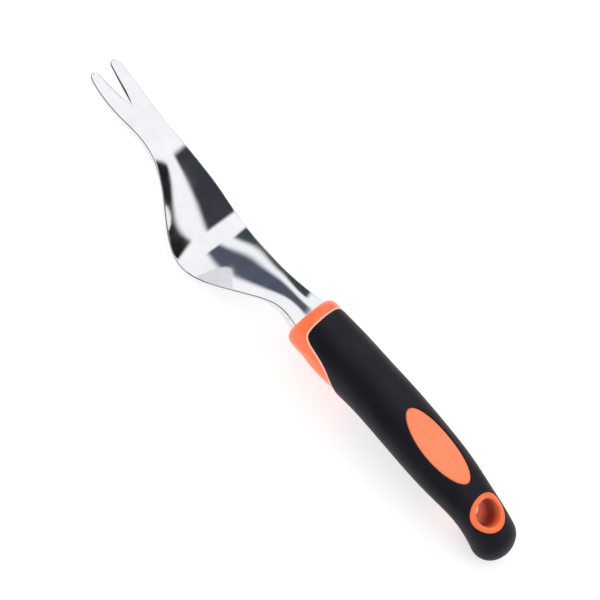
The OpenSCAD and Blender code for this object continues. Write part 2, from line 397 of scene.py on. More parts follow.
class Opening:
    """An oval hole seen along its own axis, which leans by tilt from straight up."""

    def __init__(self, x, z, half_len, half_w, tilt):
        self.centre = np.array([x, 0.0, z])
        self.half = (half_len, half_w)
        self.along = np.array([math.cos(tilt), 0.0, math.sin(tilt)])

    def on_handle(self, turn, grow, g, top=True):
        """Distance d and angle a where the handle's surface, grown by g, meets the hole's outline,
        itself grown by grow, at the angles turn round the outline. Found by repeated correction."""
        turn, grow, g = np.broadcast_arrays(*(np.asarray(v, float) for v in (turn, grow, g)))
        across = (self.half[1] + grow) * np.sin(turn)
        ahead = (self.half[0] + grow) * np.cos(turn)
        d = -self.centre[0] - ahead
        for _ in range(SOLVE_STEPS):
            lean = np.arcsin(np.clip(-across / handle_width(d, g), -1, 1))
            a = lean if top else math.pi - lean
            d = d - (ahead - (handle_point(d, a, g) - self.centre) @ self.along) / self.along[0]
        return d, a

    def points(self, turn, grow, g, top=True):
        """Points of the handle's surface, grown by g, on the hole's outline grown by grow."""
        d, a = self.on_handle(turn, grow, g, top)
        return handle_point(d, a, g)


def window_opening():
    """The thumb window: an upright oval."""
    return Opening(-WINDOW_X, 0.0, *WINDOW_HALF, 0.0)


def hang_opening(radius):
    """The hang hole or a ring round it: a circle leaning with the top of the handle."""
    z = float(curve(HANDLE_MID_Z, handle_share(HANG_X)))
    return Opening(-HANG_X, z, radius, radius, HANG_TILT)


def joint_line(shift):
    """Distance d and angle a round the line between collar and grip, moved by shift square to
    itself (positive towards the grip). The line is a smooth closed curve over the handle."""
    stations = 2 * (len(LINE_X) - 1)
    t = np.abs((np.arange(ROUND) + ROUND // 2) % ROUND - ROUND // 2) * stations / ROUND
    side = np.where(np.arange(ROUND) <= ROUND // 2, 1.0, -1.0)
    d = curve(LINE_X, t)
    a = np.radians(curve(LINE_ANGLE, t)) * side
    w = handle_width(d, 0.0)
    step = 0.02
    step_d = curve(LINE_X, t + step) - curve(LINE_X, t - step)
    step_a = np.radians(curve(LINE_ANGLE, t + step) - curve(LINE_ANGLE, t - step)) * w
    length = np.hypot(step_d, step_a)
    d = d + shift * step_a / length
    a = a - shift * side * step_d / length / w
    return d, a


def unwrapped(a, near):
    """Angles a moved by whole turns to lie next to the angles near."""
    return a + 2 * math.pi * np.round((near - a) / (2 * math.pi))


def lip(radius):
    """Rows of a rounded lip: how far each stands back from the edge, and how far below the skin."""
    a = arc(LIP_ROWS)
    return radius * (1 - np.sin(a)), -radius * (1 - np.cos(a))


def lanes(d_range, a_range):
    """Distances one apart, and angles one column apart, over the two ranges with both ends."""
    d = np.arange(d_range[0], d_range[1] + 1, dtype=float)
    return d, np.radians(np.arange(a_range[0], a_range[1] + 0.1, 360 / ROUND))


def add_skin(made, d, a, g, wrap=True):
    """Adds the handle's surface over a grid of distance and angle: its skin where g is zero, facing
    outwards, and otherwise its lining, set in by -g and facing inwards."""
    grid = handle_point(d, a, g)
    side = 1 if g == 0 else -1
    made.add(grid, wrap=wrap, out=side * (handle_point(d, a, g + 1) - grid))


def patch_round(made, opening, d_range, a_range, grow, thick, top):
    """Skin and lining round a hole, inside a rectangle of distance and angle. Straight lines in
    distance and angle run from the hole's outline out to the rectangle's sides."""
    d, a = lanes(d_range, a_range)
    side_d = np.concatenate([d[:-1], 0 * a[:-1] + d[-1], d[:0:-1], 0 * a[:-1] + d[0]])
    side_a = np.concatenate([0 * d[:-1] + a[0], a[:-1], 0 * d[:-1] + a[-1], a[:0:-1]])
    spot = handle_point(side_d, side_a, 0.0) - opening.centre
    turn = np.arctan2(spot[:, 1] / opening.half[1], spot @ opening.along / opening.half[0])
    back, down = lip(grow)
    share = np.linspace(0, 1, PATCH_ROWS)[:, None] ** CROWD
    for g, start in ((0.0, back[0]), (-thick, 0.0)):
        edge_d, edge_a = opening.on_handle(turn, start, g, top)
        edge_a = unwrapped(edge_a, side_a)
        add_skin(made, edge_d * (1 - share) + side_d * share, edge_a * (1 - share) + side_a * share, g)
    wall = opening.points(turn, np.append(back, 0.0)[:, None], np.append(down, -thick)[:, None], top)
    made.add(wall, wrap=True, out=opening.centre + wall[..., :1] * 0 - wall)


def patch_plain(made, d_range, a_range, thick):
    """Skin and lining over a rectangle of distance and angle."""
    d, a = lanes(d_range, a_range)
    for g in (0.0, -thick):
        add_skin(made, d[:, None], a, g, wrap=False)


def grip_surface(lip_r, thick):
    """The soft sleeve. Its skin is the handle's surface from the joint line back, with an oval
    window and two round holes left open, and its lining is the same surface set in by the wall.
    Rounded lips run round every edge."""
    made = Surface()
    around = np.radians(np.arange(ROUND) * 360 / ROUND)
    share = np.linspace(0, 1, LANE_ROWS)[:, None] ** CROWD
    back, down = lip(lip_r)
    for g, start in ((0.0, back[0]), (-thick, 0.0)):
        d, a = joint_line(start)
        a = unwrapped(a, around)
        add_skin(made, d * (1 - share) + LANES_FROM * share, a * (1 - share) + around * share, g)
    lines = [joint_line(b) for b in np.append(back, 0.0)]
    wall = np.stack([handle_point(d, a, g) for (d, a), g in zip(lines, np.append(down, -thick))])
    made.add(wall, wrap=True, out=np.array([1.0, 0, 0]))

    rim = hang_opening(RIM_R)
    over, under = (-TOP_SIDE, TOP_SIDE), (LOW_SIDE, 360 - LOW_SIDE)
    patch_round(made, window_opening(), (LANES_FROM, LANES_MID), over, lip_r, thick, True)
    patch_round(made, rim, (LANES_MID, LANES_TO), over, lip_r, thick, True)
    patch_round(made, rim, (LOW_FROM, LOW_TO), under, lip_r, thick, False)
    patch_plain(made, (LANES_FROM, LOW_FROM), under, thick)
    patch_plain(made, (LOW_TO, LANES_TO), under, thick)
    for flank in ((TOP_SIDE, LOW_SIDE), (360 - LOW_SIDE, 360 - TOP_SIDE)):
        patch_plain(made, (LANES_FROM, LANES_TO), flank, thick)

    for g in (0.0, -thick):
        start = math.asin((LANES_TO - DOME_X) / (DOME_LEN + g))
        d = DOME_X + (DOME_LEN + g) * np.sin(np.linspace(start, math.pi / 2, DOME_ROWS))[:, None]
        add_skin(made, d, around, g)
    return made


def neck_outline(towards, gap):
    """Places where rays from the middle of the neck, at the angles towards, leave the neck's
    outline grown by gap."""
    one = np.ones(1)
    outer, _ = bar_outline(
        0 * one, BLADE_HALF_W[-1] * one, BLADE_EDGE_Z[-1] * one, BLADE_T[-1] * one,
        BLADE_ROUND[-1] * BLADE_HALF_W[-1] * one, (BLADE_ROUND[-1] * BLADE_T[-1] + ROUND_LEAST) * one,
        EDGE_R * one, 0 * one, 0 * one,
    )
    y, z = outer[0, :, 0], outer[0, :, 1] - NECK_MID_Z
    turn = np.arctan2(y, z)
    order = np.argsort(turn)
    radius = np.interp(np.abs(towards), turn[order], np.hypot(y, z)[order]) + gap
    return radius * np.sin(towards), NECK_MID_Z + radius * np.cos(towards)


def collar_surface(lip_r, thick, wall):
    """The hard collar: one profile for every angle round the handle, closed on itself. It runs out
    of the neck's opening, over the front face, round the nose, back along the skin to the joint
    line, down a rounded lip and forward again along the lining."""
    around = np.radians(np.arange(ROUND) * 360 / ROUND)
    around = np.where(around > math.pi, around - 2 * math.pi, around)
    ring = handle_point(0.0, around, -NOSE_R)
    towards = np.arctan2(ring[:, 1], ring[:, 2] - NECK_MID_Z)

    def opening(depth, gap):
        y, z = neck_outline(towards, gap)
        return np.stack([np.full_like(y, -depth), y, z], -1)[None]

    back, down = lip(lip_r)
    mouth = [opening(wall, NECK_GAPS[0][1])] + [opening(*place) for place in NECK_GAPS]
    edge = mouth[-1]
    share = between(FACE_ROWS)
    face = edge * (1 - share) + ring[None] * share
    a = arc(NOSE_ROWS)[:, None]
    nose = handle_point(NOSE_R * (1 - np.cos(a)), around[None], -NOSE_R * (1 - np.sin(a)))
    end_d, end_a = joint_line(-back[0])
    end_a = unwrapped(end_a, around)
    share = 1 - (1 - np.linspace(0, 1, SKIN_ROWS)[1:, None]) ** SKIN_CROWD
    rows_d = NOSE_R * (1 - share) + end_d * share
    rows_a = around * (1 - share) + end_a * share
    skin = handle_point(rows_d, rows_a, -tongue_scoop(rows_d, rows_a))
    lines = [joint_line(-b) for b in back[1:]]
    low = tongue_scoop(end_d, end_a)
    edge_rows = np.stack([handle_point(d, t, g - low) for (d, t), g in zip(lines, down[1:])])
    d, t = joint_line(0.0)
    t = unwrapped(t, around)
    share = np.linspace(0, 1, LINING_ROWS)[:, None]
    lining = handle_point(d * (1 - share) + wall * share, t * (1 - share) + around * share, -thick)
    made = Surface()
    made.add(np.concatenate([edge, face, nose, skin, edge_rows, lining, *mouth]), wrap=True)
    return made


def smooth(v):
    """Share v eased at both ends, by the cubic 3v^2 - 2v^3."""
    return v * v * (3 - 2 * v)


def tongue_scoop(d, a):
    """Depth of the shallow hollow under the crease along the collar's tongue: none above the
    crease, then a smooth step down below it, fading out towards the front of the collar."""
    crease = np.radians(curve(CREASE_ANGLE, np.clip((d - CREASE_FROM) / CREASE_STEP, 0, None)))
    below = (np.abs(a) - crease) * handle_width(d, 0.0)
    step = np.clip(below / SCOOP_SLOPE, 0, 1)
    fade = np.clip((d - CREASE_FROM + SCOOP_LEAD) / SCOOP_STRETCH, 0, 1)
    far = np.clip(1 - (below - SCOOP_SLOPE) / SCOOP_WIDTH, 0, 1)
    return SCOOP_DEPTH * smooth(step) * smooth(fade) * smooth(far)


def pad_surface(recess, edge_r, thick):
    """The thumb pad: an oval disc that follows the handle, from the middle of its top out to a
    rounded edge, down its side and back in along the underside."""
    window = window_opening()
    turn = np.linspace(0, 2 * math.pi, PAD_ROUND, endpoint=False)
    inner = 1 - edge_r / window.half[1]
    rows = []
    for share in np.sqrt(1 - np.linspace(1, 0, PAD_ROWS) ** PAD_CROWD):
        rows.append(scaled_points(window, turn, share * inner, -recess))
    for angle in arc(CORNER_STEPS)[1:]:
        size = inner + (1 - inner) * math.sin(angle)
        rows.append(scaled_points(window, turn, size, -recess - edge_r * (1 - math.cos(angle))))
    for size in (1.0, 0.7, 0.35, 0.0):
        rows.append(scaled_points(window, turn, size, -thick))
    made = Surface()
    made.add(np.stack(rows), wrap=True)
    return made


def scaled_points(opening, turn, size, g):
    """Points of the handle's surface, grown by g, on the outline shrunk to a share of its size."""
    half_len, half_w = (half * size for half in opening.half)
    small = Opening(opening.centre[0], opening.centre[2], half_len, half_w, 0.0)
    return small.points(turn, 0.0, g)


def eyelet_surface(edge_r, bore_r, thick):
    """The hang hole's lining: one closed profile for every angle round the hole. The rim follows the
    handle's skin on top, rolls over into the bore, and comes out again on the underside."""
    rim = hang_opening(RIM_R)
    turn = np.linspace(0, 2 * math.pi, ROUND, endpoint=False)
    outer, inner = RIM_R - edge_r, HANG_R + bore_r
    profile = [(BARREL_R, -thick), (RIM_R, -thick)]
    profile += [(RIM_R - edge_r * (1 - math.cos(t)), -edge_r * (1 - math.sin(t))) for t in arc(RIM_ROWS)]
    profile += [(outer + (inner - outer) * share, 0.0) for share in (0.3, 0.7)]
    profile += [(HANG_R + bore_r * (1 - math.sin(t)), -bore_r * (1 - math.cos(t))) for t in arc(RIM_ROWS)]
    upper = np.stack([rim.points(turn, radius - RIM_R, g, True) for radius, g in profile])
    lower = np.stack([rim.points(turn, radius - RIM_R, g, False) for radius, g in profile[::-1]])
    share = between(BORE_ROWS)
    bore = upper[-1] * (1 - share) + lower[0] * share
    barrel = lower[-1] * (1 - share) + upper[0] * share
    made = Surface()
    made.add(np.concatenate([upper, bore, lower, barrel, upper[:1]]), wrap=True)
    return made


def at_rest(points, shift):
    """Points of the tool's frame, in metres, leaned back onto heel and handle and moved by shift."""
    c, s = math.cos(REST_LEAN), math.sin(REST_LEAN)
    turn = np.array([[c, 0, -s], [0, 1, 0], [s, 0, c]])
    return points @ turn.T * MM + shift


def rest_shift():
    """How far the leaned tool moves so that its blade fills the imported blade's box."""
    low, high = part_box("blade")
    points = at_rest(blade_surface(EDGE_R).closed()[0], 0.0)
    return np.array([high.x - points[:, 0].max(), 0.0, low.z - points[:, 2].min()])


SHIFT = rest_shift()


# ---- Finishes ----
# Share of the faded colour, the coat on the eyelet's open face, how much the painted shade in its
# bore leans towards the handle's end, and where along the bore that painted shade ends, in metres from the
# middle of the wall
FADING = 0.25
GLAZE = 0.5
BORE_SHADE_SLANT = 0.35
BORE_PAINTED_SHADE = (0.001, 0.0085)
# Reach of the painted highlight, a pale line along the collar's rear edge, in mm, and the nearness
# at which it fades
HIGHLIGHT_MM = 1.5
HIGHLIGHT_FADE = (0.15, 0.6)
# Node groups that the finishes share, by name
TREES = {}


class Graph:
    """A few short words for building a node tree."""

    def __init__(self, tree):
        self.tree = tree

    def node(self, kind, **values):
        """A new node with its settings."""
        made = self.tree.nodes.new(kind)
        for key, value in values.items():
            setattr(made, key, value)
        return made

    def put(self, socket, value):
        """Links another socket to this one, or sets its number or colour."""
        if isinstance(value, bpy.types.NodeSocket):
            self.tree.links.new(value, socket)
        else:
            socket.default_value = value

    def noise(self, where, scale, detail=2.0, rough=0.5):
        """Noise with features 1 / scale across."""
        made = self.node("ShaderNodeTexNoise")
        for key, value in (("Vector", where), ("Scale", scale), ("Detail", detail), ("Roughness", rough)):
            self.put(made.inputs[key], value)
        return made.outputs["Fac"]

    def math(self, operation, *values):
        made = self.node("ShaderNodeMath", operation=operation)
        for socket, value in zip(made.inputs, values):
            self.put(socket, value)
        return made.outputs[0]

    def ramp(self, value, low, high, to_low=0.0, to_high=1.0):
        """Smooth step between two values."""
        made = self.node("ShaderNodeMapRange", interpolation_type="SMOOTHSTEP")
        for socket, entry in zip(made.inputs, (value, low, high, to_low, to_high)):
            self.put(socket, entry)
        return made.outputs[0]

    def blend(self, share, first, second):
        """Mixes two colours."""
        made = self.node("ShaderNodeMix", data_type="RGBA")
        for socket, value in zip((made.inputs[0], made.inputs[6], made.inputs[7]), (share, first, second)):
            self.put(socket, value)
        return made.outputs[2]

    def stretched(self, scale=(1, 1, 1)):
        """The piece's own coordinates, scaled."""
        where = self.node("ShaderNodeTexCoord").outputs["Object"]
        made = self.node("ShaderNodeMapping")
        self.put(made.inputs["Vector"], where)
        self.put(made.inputs["Scale"], scale)
        return made.outputs["Vector"]

    def within(self, share, given):
        """A share of the way from the group's low roughness to its high one."""
        span = self.math("SUBTRACT", given["High"], given["Low"])
        return self.math("MULTIPLY_ADD", share, span, given["Low"])


def group(name, inputs, outputs):
    """A new shader node group with the named sockets: colours for the colour names, else floats."""
    tree = bpy.data.node_groups.new(name, "ShaderNodeTree")
    for side, labels in (("INPUT", inputs), ("OUTPUT", outputs)):
        for label in labels.split():
            kind = "NodeSocketColor" if label in ("Base", "Faded", "Color") else "NodeSocketFloat"
            tree.interface.new_socket(name=label, in_out=side, socket_type=kind)
    graph = Graph(tree)
    return graph, graph.node("NodeGroupInput").outputs, graph.node("NodeGroupOutput").inputs


def worked_metal_group():
    """Soft blotches and fine lines that run along the blade: roughness, height and a grey tint."""
    g, given, out = group("Worked Metal", "Low High Lines", "Roughness Height Tint")
    blotch = g.noise(g.stretched((90, 130, 130)), 1.0, 3.0)
    lines = g.noise(g.stretched((120, 2600, 2600)), 1.0, 4.0, 0.65)
    mark = g.noise(g.stretched((700, 260, 260)), 1.0, 2.0)
    share = g.math("MULTIPLY_ADD", g.ramp(blotch, 0.35, 0.7), 0.7, g.math("MULTIPLY", mark, 0.3))
    g.put(out["Roughness"], g.within(share, given))
    g.put(out["Height"], g.math("MULTIPLY_ADD", lines, given["Lines"], blotch))
    g.put(out["Tint"], g.ramp(blotch, 0.2, 0.8, 0.93, 1.0))
    return g.tree


def moulded_grain_group():
    """The even, fine grain of a moulded surface: roughness and height."""
    g, given, out = group("Moulded Grain", "Scale Low High", "Roughness Height")
    where = g.stretched()
    grain = g.noise(where, given["Scale"], 3.0, 0.6)
    patch = g.noise(where, 70.0, 2.0)
    share = g.math("MULTIPLY", g.ramp(patch, 0.3, 0.7), grain)
    g.put(out["Roughness"], g.within(share, given))
    g.put(out["Height"], grain)
    return g.tree


def handling_group():
    """Base colour with faint cloudy fading and a few dust specks."""
    g, given, out = group("Handling", "Base Faded Fading Specks", "Color")
    where = g.stretched()
    cloud = g.ramp(g.noise(where, 55.0, 3.0), 0.35, 0.75)
    speck = g.math("MULTIPLY", g.ramp(g.noise(where, 1500.0, 1.0), 0.72, 0.8), given["Specks"])
    share = g.math("MULTIPLY_ADD", cloud, given["Fading"], speck)
    g.put(out["Color"], g.blend(g.math("MINIMUM", share, 1.0), given["Base"], given["Faded"]))
    return g.tree


def placed(graph, tree, **values):
    """Puts a node group in a material with its own values and returns its outputs."""
    made = graph.node("ShaderNodeGroup", node_tree=tree)
    for key, value in values.items():
        graph.put(made.inputs[key], value)
    return made.outputs


def finish_base(name, **constants):
    """An empty material with one Principled shader whose constant values are set on its sockets."""
    material = bpy.data.materials.new(name)
    material.use_nodes = True
    material.node_tree.nodes.clear()
    graph = Graph(material.node_tree)
    shader = graph.node("ShaderNodeBsdfPrincipled")
    output = graph.node("ShaderNodeOutputMaterial")
    material.node_tree.links.new(shader.outputs["BSDF"], output.inputs["Surface"])
    for key, value in constants.items():
        shader.inputs[key.replace("_", " ")].default_value = value
    return material, graph, shader


def raised(graph, shader, height, depth):
    """Feeds a height, in metres of relief, to the shader through a Bump node."""
    bump = graph.node("ShaderNodeBump")
    bump.inputs["Strength"].default_value = 1.0
    bump.inputs["Distance"].default_value = depth
    graph.put(bump.inputs["Height"], height)
    graph.put(shader.inputs["Normal"], bump.outputs["Normal"])


def metal(name, colour, low, high, depth, lines):
    """Worked metal of one colour, with roughness from low to high and relief of depth metres."""
    material, graph, shader = finish_base(name, Metallic=1.0)
    made = placed(graph, TREES["metal"], Low=low, High=high, Lines=lines)
    tint = graph.node("ShaderNodeVectorMath", operation="SCALE")
    tint.inputs[0].default_value = colour[:3]
    graph.put(tint.inputs["Scale"], made["Tint"])
    graph.put(shader.inputs["Base Color"], tint.outputs[0])
    graph.put(shader.inputs["Roughness"], made["Roughness"])
    raised(graph, shader, made["Height"], depth)
    return material


def moulded(name, colour, faded, low, high, grain, depth, specks=0.0, **constants):
    """Moulded plastic or rubber: cloudy between its colour and the faded one, with roughness from low
    to high, grain of 1 / grain metres and relief of depth metres. Returns its graph and shader too."""
    material, graph, shader = finish_base(name, **constants)
    skin = placed(graph, TREES["grain"], Scale=grain, Low=low, High=high)
    shade = placed(graph, TREES["handling"], Base=colour, Faded=faded, Fading=FADING, Specks=specks)
    graph.put(shader.inputs["Base Color"], shade["Color"])
    graph.put(shader.inputs["Roughness"], skin["Roughness"])
    raised(graph, shader, skin["Height"], depth)
    return material, graph, shader


def covered(graph, shader, share, over):
    """Blends another colour over the shader's base colour."""
    under = shader.inputs["Base Color"].links[0].from_socket
    graph.put(shader.inputs["Base Color"], graph.blend(share, under, over))


def bore_painted_shade(graph, shader, opening, shade_colour):
    """Paints shade into the base colour: darkens it and takes the coat away down inside a through hole,
    by the distance along the hole's axis, leant by the slant, from the middle of its wall."""
    ahead = opening.along
    axis = np.array([-ahead[2], 0.0, ahead[0]])
    middle = at_rest(opening.centre[None], SHIFT)[0]
    slant = at_rest((axis + BORE_SHADE_SLANT * ahead)[None], 0.0)[0] / MM
    along = graph.node("ShaderNodeVectorMath", operation="DOT_PRODUCT")
    graph.put(along.inputs[0], graph.node("ShaderNodeTexCoord").outputs["Object"])
    along.inputs[1].default_value = slant
    depth = graph.math("ABSOLUTE", graph.math("SUBTRACT", along.outputs["Value"], float(middle @ slant)))
    plain = graph.ramp(depth, *BORE_PAINTED_SHADE)
    covered(graph, shader, graph.math("SUBTRACT", 1.0, plain), shade_colour)
    graph.put(shader.inputs["Coat Weight"], graph.math("MULTIPLY", plain, GLAZE))


# ---- Settings ----
def length(name, description, default):
    """A length setting, given here in millimetres and kept in metres."""
    return FloatProperty(
        name=name, description=description, default=default * MM, min=0.0, soft_max=10 * MM,
        precision=5, subtype="DISTANCE",
    )


def colour(name, description, default):
    """A colour setting."""
    return FloatVectorProperty(
        name=name, description=description, default=default, size=3, min=0.0, max=1.0, subtype="COLOR"
    )


class WeederSizes(bpy.types.PropertyGroup):
    """Small radii and walls that finish the pieces."""

    blade_edge: length("Blade edge", "Radius along the blade's top edges", EDGE_R)
    grip_lip: length("Grip lip", "Radius of the soft grip's edges", 0.45)
    grip_wall: length("Grip wall", "Thickness of the soft grip", 2.6)
    collar_lip: length("Collar lip", "Radius of the collar's rear edge", 0.6)
    collar_wall: length("Collar wall", "Thickness at the front of the collar", 4.0)
    pad_recess: length("Pad recess", "How far the thumb pad lies below the grip", 0.5)
    pad_edge: length("Pad edge", "Radius round the thumb pad", 0.6)
    eyelet_edge: length("Eyelet edge", "Radius of the eyelet's outer edge", 0.4)
    eyelet_bore: length("Eyelet bore", "Radius where the eyelet rolls into its bore", 1.3)


class WeederColours(bpy.types.PropertyGroup):
    """Colours of the finishes and of the studio."""

    blade: colour("Blade", "Cast aluminium", (0.80, 0.81, 0.83))
    pin: colour("Pin", "Steel of the hidden pin", (0.60, 0.60, 0.62))
    core: colour("Core", "Hidden plastic core", (0.86, 0.16, 0.04))
    collar: colour("Collar", "Hard plastic of the collar", (0.95, 0.155, 0.045))
    grip: colour("Grip", "Soft dark grip", (0.0050, 0.0050, 0.0075))
    pad: colour("Pad", "Soft thumb pad", (0.94, 0.225, 0.09))
    eyelet: colour("Eyelet", "Glossy plastic of the eyelet", (0.88, 0.165, 0.05))
    floor: colour("Floor", "Pale studio floor", (0.55, 0.55, 0.55))


def in_mm(context, *names):
    """Length settings as millimetres."""
    return [getattr(context.scene.weeder_sizes, name) / MM for name in names]


def paint(context, name):
    """A colour setting with its alpha."""
    return (*getattr(context.scene.weeder_colours, name), 1.0)


# ---- Pieces ----
def make_piece(name, surface, material, nodes):
    """Turns a surface into an object at the origin that stands for CAD nodes and takes a finish."""
    points, quads, tris = surface.closed()
    mesh = bpy.data.meshes.new(name)
    points = at_rest(points, SHIFT)
    loops = np.concatenate([quads.ravel(), tris.ravel()]).astype(np.int32)
    sizes = np.concatenate([np.full(len(quads), 4), np.full(len(tris), 3)])
    mesh.vertices.add(len(points))
    mesh.vertices.foreach_set("co", points.astype(np.float32).ravel())
    mesh.loops.add(len(loops))
    mesh.loops.foreach_set("vertex_index", loops)
    mesh.polygons.add(len(sizes))
    starts = np.concatenate([[0], np.cumsum(sizes)[:-1]]).astype(np.int32)
    mesh.polygons.foreach_set("loop_start", starts)
    mesh.polygons.foreach_set("use_smooth", np.ones(len(sizes), bool))
    mesh.update(calc_edges=True)
    mesh.validate()
    mesh.materials.append(material)
    piece = bpy.data.objects.new(name, mesh)
    bpy.context.scene.collection.objects.link(piece)
    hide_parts(*nodes)
    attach(piece, "root")
    return piece


def mark_near(piece, name, line, reach):
    """Stores on every vertex how near it lies to a closed line of points: one on the line, falling
    evenly to none at the reach. Points midway along the line are measured too."""
    points = np.empty(len(piece.data.vertices) * 3, np.float32)
    piece.data.vertices.foreach_get("co", points)
    points = points.reshape(-1, 1, 3)
    gap = np.full(len(points), np.inf)
    line = np.concatenate([line, (line + np.roll(line, 1, 0)) / 2])
    for part in np.array_split(line, 24):
        gap = np.minimum(gap, np.linalg.norm(points - part, axis=2).min(1))
    mark = piece.data.attributes.new(name, "FLOAT", "POINT")
    mark.data.foreach_set("value", np.clip(1 - gap / reach, 0, 1).astype(np.float32))


def repaint(node, material):
    """Gives a carried-over CAD node its finish."""
    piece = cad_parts[node]
    piece.data.materials.clear()
    piece.data.materials.append(material)


class WEEDER_OT_finishes(bpy.types.Operator):
    """Builds the node groups that the finishes share"""

    bl_idname = "weeder.finishes"
    bl_label = "Shared finishes"

    def execute(self, context):
        TREES["metal"] = worked_metal_group()
        TREES["grain"] = moulded_grain_group()
        TREES["handling"] = handling_group()
        return {"FINISHED"}


class WEEDER_OT_blade(bpy.types.Operator):
    """Builds the cast blade with its fork, heel and neck"""

    bl_idname = "weeder.blade"
    bl_label = "Blade"

    def execute(self, context):
        surface = blade_surface(*in_mm(context, "blade_edge"))
        finish = metal("cast_aluminium", paint(context, "blade"), 0.05, 0.10, 0.000002, 0.3)
        make_piece("blade_casting", surface, finish, ["blade"])
        return {"FINISHED"}


class WEEDER_OT_hidden(bpy.types.Operator):
    """Finishes the hidden core and cross pin"""

    bl_idname = "weeder.hidden"
    bl_label = "Core and pin"

    def execute(self, context):
        repaint("tang_pin", metal("pin_steel", paint(context, "pin"), 0.25, 0.4, 0.000005, 0.5))
        core = paint(context, "core")
        repaint("handle_core", moulded("core_plastic", core, core, 0.4, 0.5, 900.0, 0.00002)[0])
        return {"FINISHED"}


class WEEDER_OT_collar(bpy.types.Operator):
    """Builds the hard front collar with its side tongues"""

    bl_idname = "weeder.collar"
    bl_label = "Front collar"

    def execute(self, context):
        lengths = in_mm(context, "collar_lip", "grip_wall", "collar_wall")
        finish, graph, shader = moulded(
            "collar_plastic", paint(context, "collar"), (0.95, 0.2, 0.08, 1),
            0.22, 0.34, 900.0, 0.00001, specks=0.1,
        )
        # Painted highlight: a pale line along the collar's rear edge next to the grip, stored in the
        # vertex attribute rim
        rim = graph.node("ShaderNodeAttribute", attribute_name="rim").outputs["Fac"]
        covered(graph, shader, graph.ramp(rim, *HIGHLIGHT_FADE), (1.0, 0.50, 0.38, 1.0))
        surface = collar_surface(*lengths)
        piece = make_piece("front_collar_shell", surface, finish, ["front_collar"])
        line = handle_point(*joint_line(0.0), 0.0)
        mark_near(piece, "rim", at_rest(line, SHIFT), HIGHLIGHT_MM * MM)
        return {"FINISHED"}


class WEEDER_OT_grip(bpy.types.Operator):
    """Builds the soft grip with its window and the holes round the eyelet"""

    bl_idname = "weeder.grip"
    bl_label = "Soft grip"

    def execute(self, context):
        lengths = in_mm(context, "grip_lip", "grip_wall")
        finish, _, _ = moulded(
            "grip_rubber", paint(context, "grip"), (0.016, 0.016, 0.019, 1),
            0.50, 0.64, 1600.0, 0.00003, specks=0.25,
            Specular_IOR_Level=0.32, Specular_Tint=(0.80, 0.82, 1.0, 1.0),
        )
        make_piece("grip_skin", grip_surface(*lengths), finish, ["grip_sleeve"])
        return {"FINISHED"}


class WEEDER_OT_pad(bpy.types.Operator):
    """Builds the soft thumb pad in the grip's window"""

    bl_idname = "weeder.pad"
    bl_label = "Thumb pad"

    def execute(self, context):
        lengths = in_mm(context, "pad_recess", "pad_edge", "grip_wall")
        finish, _, _ = moulded(
            "pad_rubber", paint(context, "pad"), (0.95, 0.3, 0.15, 1),
            0.5, 0.62, 1500.0, 0.00002, specks=0.15,
        )
        make_piece("thumb_pad_oval", pad_surface(*lengths), finish, ["thumb_pad"])
        return {"FINISHED"}


class WEEDER_OT_eyelet(bpy.types.Operator):
    """Builds the rim and barrel that line the hang hole"""

    bl_idname = "weeder.eyelet"
    bl_label = "Hang eyelet"

    def execute(self, context):
        lengths = in_mm(context, "eyelet_edge", "eyelet_bore", "grip_wall")
        finish, graph, shader = moulded(
            "eyelet_plastic", paint(context, "eyelet"), (0.9, 0.22, 0.09, 1),
            0.24, 0.34, 700.0, 0.00001, specks=0.1, Specular_IOR_Level=0.08, Coat_Roughness=0.25,
        )
        # Painted shade down the eyelet's bore: darker deep inside, and darker towards one side
        bore_painted_shade(graph, shader, hang_opening(RIM_R), (0.30, 0.030, 0.003, 1.0))
        make_piece("hang_eyelet_ring", eyelet_surface(*lengths), finish, ["hang_eyelet"])
        return {"FINISHED"}


# ---- Studio ----
# Camera in the tool's frame: which way it looks, the spot it looks at, its distance and how far it
# stands aside, in mm; then its lens, the strength of sky and floor, and half the floor in metres
VIEW_TURN = math.radians(-171.65)
VIEW_RISE = math.radians(62.72)
VIEW_ROLL = math.radians(42.32)
VIEW_MIDDLE = np.array([0.0, 0.0, 25.0])
VIEW_MM = 1006.5
VIEW_ASIDE = np.array([-13.317, -2.033])
LENS_MM = 120.0
SKY_LIGHT = 1.15
FLOOR_GLOW = 0.52
FLOOR_HALF = 6.0


def studio_camera():
    """A camera that looks down on the tool from beyond its far side, rolled so that the blade points
    up and to the left. It is placed in the tool's frame and then leaned with the tool."""
    flat = math.cos(VIEW_RISE)
    back = np.array([math.sin(VIEW_TURN) * flat, -math.cos(VIEW_TURN) * flat, math.sin(VIEW_RISE)])
    right = np.cross([0, 0, 1], back)
    right /= np.linalg.norm(right)
    up = np.cross(back, right)
    c, s = math.cos(VIEW_ROLL), math.sin(VIEW_ROLL)
    right, up = right * c + up * s, up * c - right * s
    spot = VIEW_MIDDLE + VIEW_MM * back + right * VIEW_ASIDE[0] + up * VIEW_ASIDE[1]
    place = at_rest(spot[None], SHIFT)[0]
    axes = at_rest(np.stack([right, up, back]), 0.0) / MM
    camera = bpy.data.cameras.new("studio_camera")
    camera.lens = LENS_MM
    camera.clip_start, camera.clip_end = 0.05, 50.0
    seat = bpy.data.objects.new("studio_camera", camera)
    bpy.context.scene.collection.objects.link(seat)
    turn = Matrix(axes.T.tolist()).to_4x4()
    seat.matrix_world = Matrix.Translation(Vector(place)) @ turn
    bpy.context.scene.camera = seat


